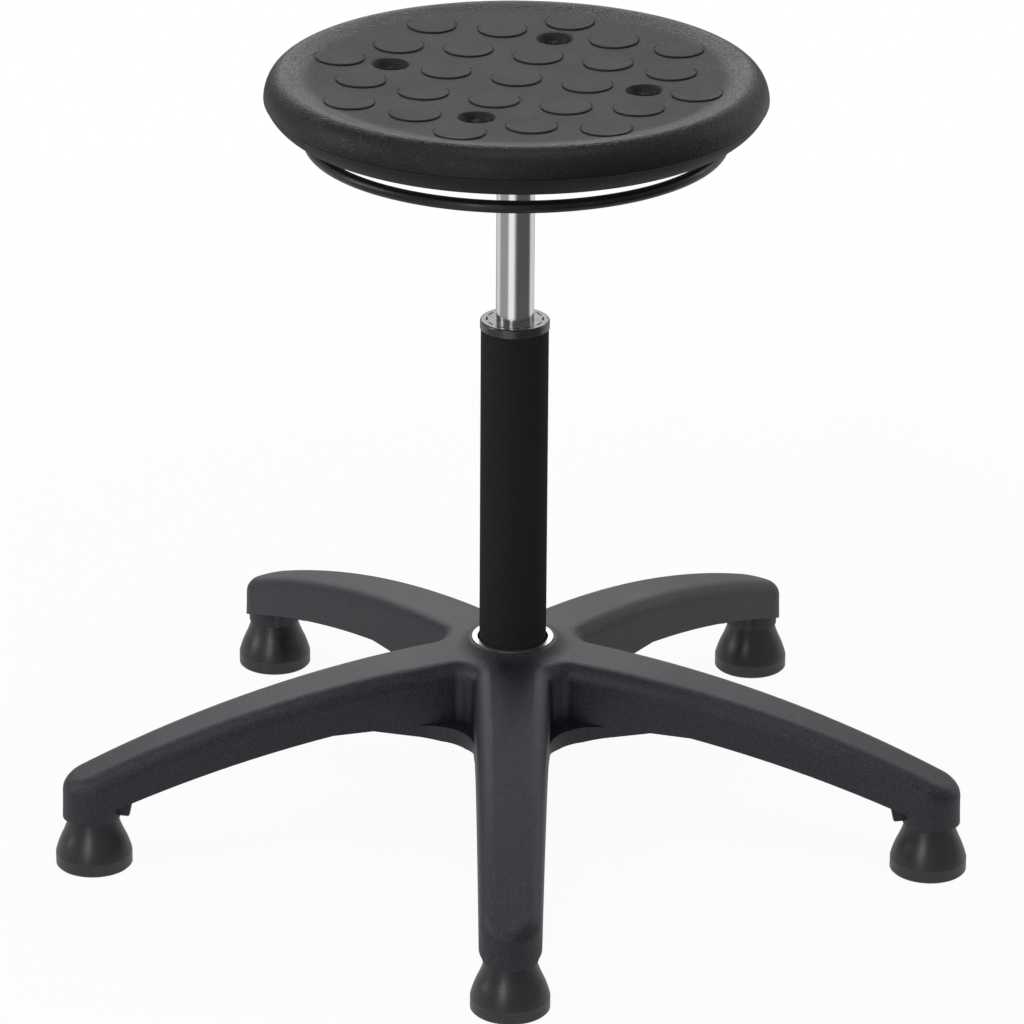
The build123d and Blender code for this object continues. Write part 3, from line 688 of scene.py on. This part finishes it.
# %% [markdown]
# ## Dimples
#
# Four smooth dimples sink into the top over the seat's fixings. Each has a flared lip and
# a bowl-like floor. A turned cutter of that shape is subtracted from the seat first, while
# its rings of faces are still plain, which is the easiest case for the Boolean. Then the
# grooves are cut and the studs are joined on, so that the seat ends as one closed skin.

# %% One cutter, copied to every dimple's place
DIMPLE_SIDES = 64
# Stations of the bowl, from above the dish down to its floor.
BOWL = [(17.0, 2.0), (15.0, 0.4), (13.9, -0.05), (12.9, -0.8), (12.1, -1.9), (11.5, -3.2)]
BOWL += [(10.8, -4.6), (9.8, -5.9), (8.2, -6.9), (5.6, -7.6), (3.0, -7.9), (1.0, -8.0)]

cutter = turn_form("dimple_cutter", BOWL, DIMPLE_SIDES)
dimple_z = dish_height(DIMPLE_CIRCLE_R) * MM
dimple_places = [(x, y, dimple_z) for x, y in on_circle(4, DIMPLE_CIRCLE_R, 45.0)]
dimples = copies(cutter, dimple_places)
print("dimples:", len(dimple_places))


# %% Cut the dimples and grooves, join the studs
def volume(piece):
    """Volume in cm3: the tetrahedra between every triangle and the origin, added up."""
    mesh = piece.data
    mesh.calc_loop_triangles()
    corners = [[mesh.vertices[i].co for i in face.vertices] for face in mesh.loop_triangles]
    return sum(a.dot(b.cross(c)) for a, b, c in corners) / 6 * 1e6


for operation, tool in (("DIFFERENCE", dimples), ("DIFFERENCE", grooves), ("UNION", studs)):
    apply(seat, "BOOLEAN", operation=operation, object=tool, solver="EXACT")
    bpy.data.objects.remove(tool)
    print("seat volume in cm3:", round(volume(seat), 2))
use(seat)
bpy.ops.object.shade_smooth_by_angle(angle=math.radians(32))
seat.data.materials.clear()
seat.data.materials.append(finishes["seat_foam"])
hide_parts("seat_cushion")
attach(seat, "seat")
print("seat faces:", len(seat.data.polygons))

# %% [markdown]
# ## Floor, world and lamps
#
# The stool stands on a white floor in even studio light. The camera sees white all round
# and a soft shadow, because the floor and the world ask which kind of ray meets them.
# Mirrors see more of the studio: light and dark sectors of floor round the stool, a bright
# backdrop and faint walls. These draw the bright and dark stripes on the lift. Cards could
# stand round the stool instead, but they would show from the other sides.

# %% Which rays look at a surface
def ray_kinds(at):
    """The rays of the camera, of mirrors and of glass, and all three together."""
    camera_ray = at.node("ShaderNodeLightPath", out="Is Camera Ray")
    outputs = camera_ray.socket.node.outputs
    glossy = Wire(at.tree, outputs["Is Glossy Ray"])
    through = Wire(at.tree, outputs["Is Transmission Ray"])
    seen = at.maths("MINIMUM", camera_ray + glossy + through, 1.0)
    return camera_ray, glossy, through, seen


print("kinds of rays are ready")

# %% Floor
FLOOR_SIZE = 14.0
# A hair under the glides, so that no two faces share one plane.
FLOOR_Z = -0.0002
# Each sector: start, end and soft edge in degrees; 0 is towards the camera, 90 to the right.
LEFT_CARD = (-156, -92, 16)
RIGHT_CARD = (94, 162, 10)
FRONT_CARD = (-50, 4, 14)
DARK_GAP = (0, 100, 12)
SIDE_CARD_LEVEL = 0.72
DARK_LEVEL = 0.09
PLAIN_EXTRA = 0.24

clear_choice()
bpy.ops.mesh.primitive_plane_add(size=FLOOR_SIZE, location=(0, 0, FLOOR_Z))
floor = bpy.context.object
floor.name = "studio_floor"
floor_finish, at = new_finish("studio_floor")
side_x, side_y = axes_of(at)[:2]
reach = distance(side_x, side_y)
bearing = at.maths("ARCTAN2", side_x, 0.0 - side_y)


def sector(start_deg, end_deg, soft_deg):
    start, end, soft = (math.radians(turn) for turn in (start_deg, end_deg, soft_deg))
    return step(bearing, start, start + soft) * step(bearing, end - soft, end, 1.0, 0.0)


side_cards = at.maths("MAXIMUM", sector(*LEFT_CARD), sector(*RIGHT_CARD))
cards = at.maths("MAXIMUM", SIDE_CARD_LEVEL * side_cards, sector(*FRONT_CARD))
plain = PLAIN_EXTRA * (1.0 - sector(*DARK_GAP)) + DARK_LEVEL
far = at.maths("MAXIMUM", cards, plain)
near = step(side_y, -0.6, -0.4, 0.2, 0.6)
grey = near + (far - near) * step(reach, 0.66, 0.76)
print("floor sectors are ready")

# %% What the floor shows to each kind of ray
camera_ray, *_, seen = ray_kinds(at)
level = at.maths("MAXIMUM", grey, camera_ray)
lit = tint(level, (0.0, 0.0, 0.0), (1.0, 1.0, 1.0))
paint = at.node("ShaderNodeBsdfDiffuse", None, {"Color": lit})
glow = at.node("ShaderNodeEmission", None, {"Color": lit, "Strength": 1.0})
# Near the stool a little paint is left in the mix, which takes the shadow.
share = seen * step(reach, 0.6, 1.6, 0.94, 1.0)
mixed = at.node("ShaderNodeMixShader", None, {0: share, 1: paint, 2: glow})
at.node("ShaderNodeOutputMaterial", None, {"Surface": mixed})
floor.data.materials.append(floor_finish)
print("floor size in m:", round(floor.dimensions.x, 1))

# %% World
MIRROR_LEVEL = 0.16
BACKDROP_EXTRA = 0.94
WALL_LEVEL = 0.36
FILL_LEVEL = 0.3
WHITE = (1.0, 1.0, 1.0, 1.0)

world = bpy.data.worlds.new("studio")
world.use_nodes = True
world.node_tree.nodes.clear()
scene.world = world
look = Wire(world.node_tree).node("ShaderNodeTexCoord", out="Generated")
ahead, up = axes_of(look)[1:]
backdrop = step(ahead, 0.55, 0.85) * step(up, 0.0, 0.3)
walls = step(up, 0.0, 0.2) * step(up, 0.4, 0.65, 1.0, 0.0)
mirrored = look.maths("MAXIMUM", MIRROR_LEVEL + BACKDROP_EXTRA * backdrop, WALL_LEVEL * walls)
camera_ray, glossy, through, seen = ray_kinds(look)
level = camera_ray + through + glossy * mirrored + (1.0 - seen) * FILL_LEVEL
glow = look.node("ShaderNodeBackground", None, {"Color": WHITE, "Strength": level})
look.node("ShaderNodeOutputWorld", None, {"Surface": glow})
print("world is ready")

# %% Lamps
# Each lamp: its place and what it faces in metres, its width and height, and its watts.
LAMPS = {
    "top_softbox": ((0.0, -0.6, 2.7), (0.0, 0.0, 0.5), (1.6, 0.8), 14.0),
    "left_softbox": ((-2.6, -0.2, 1.4), (0.0, 0.0, 0.35), (0.8, 1.6), 17.0),
    "front_strip": ((-1.2, -2.9, 1.5), (0.0, 0.0, 0.3), (0.25, 1.4), 14.0),
    "right_softbox": ((2.4, 1.2, 1.4), (0.0, 0.0, 0.35), (0.9, 1.6), 8.0),
    "back_softbox": ((-0.3, 2.6, 1.7), (0.0, 0.0, 0.2), (2.0, 0.8), 12.0),
}

for name, (place, aim, size, watts) in LAMPS.items():
    clear_choice()
    bpy.ops.object.light_add(type="AREA", location=place)
    lamp = bpy.context.object
    lamp.name = name
    lamp.data.shape = "RECTANGLE"
    lamp.data.size, lamp.data.size_y = size
    lamp.data.energy = watts
    lamp.rotation_euler = (Vector(aim) - Vector(place)).to_track_quat("-Z", "Y").to_euler()
print("lamps:", ", ".join(LAMPS))
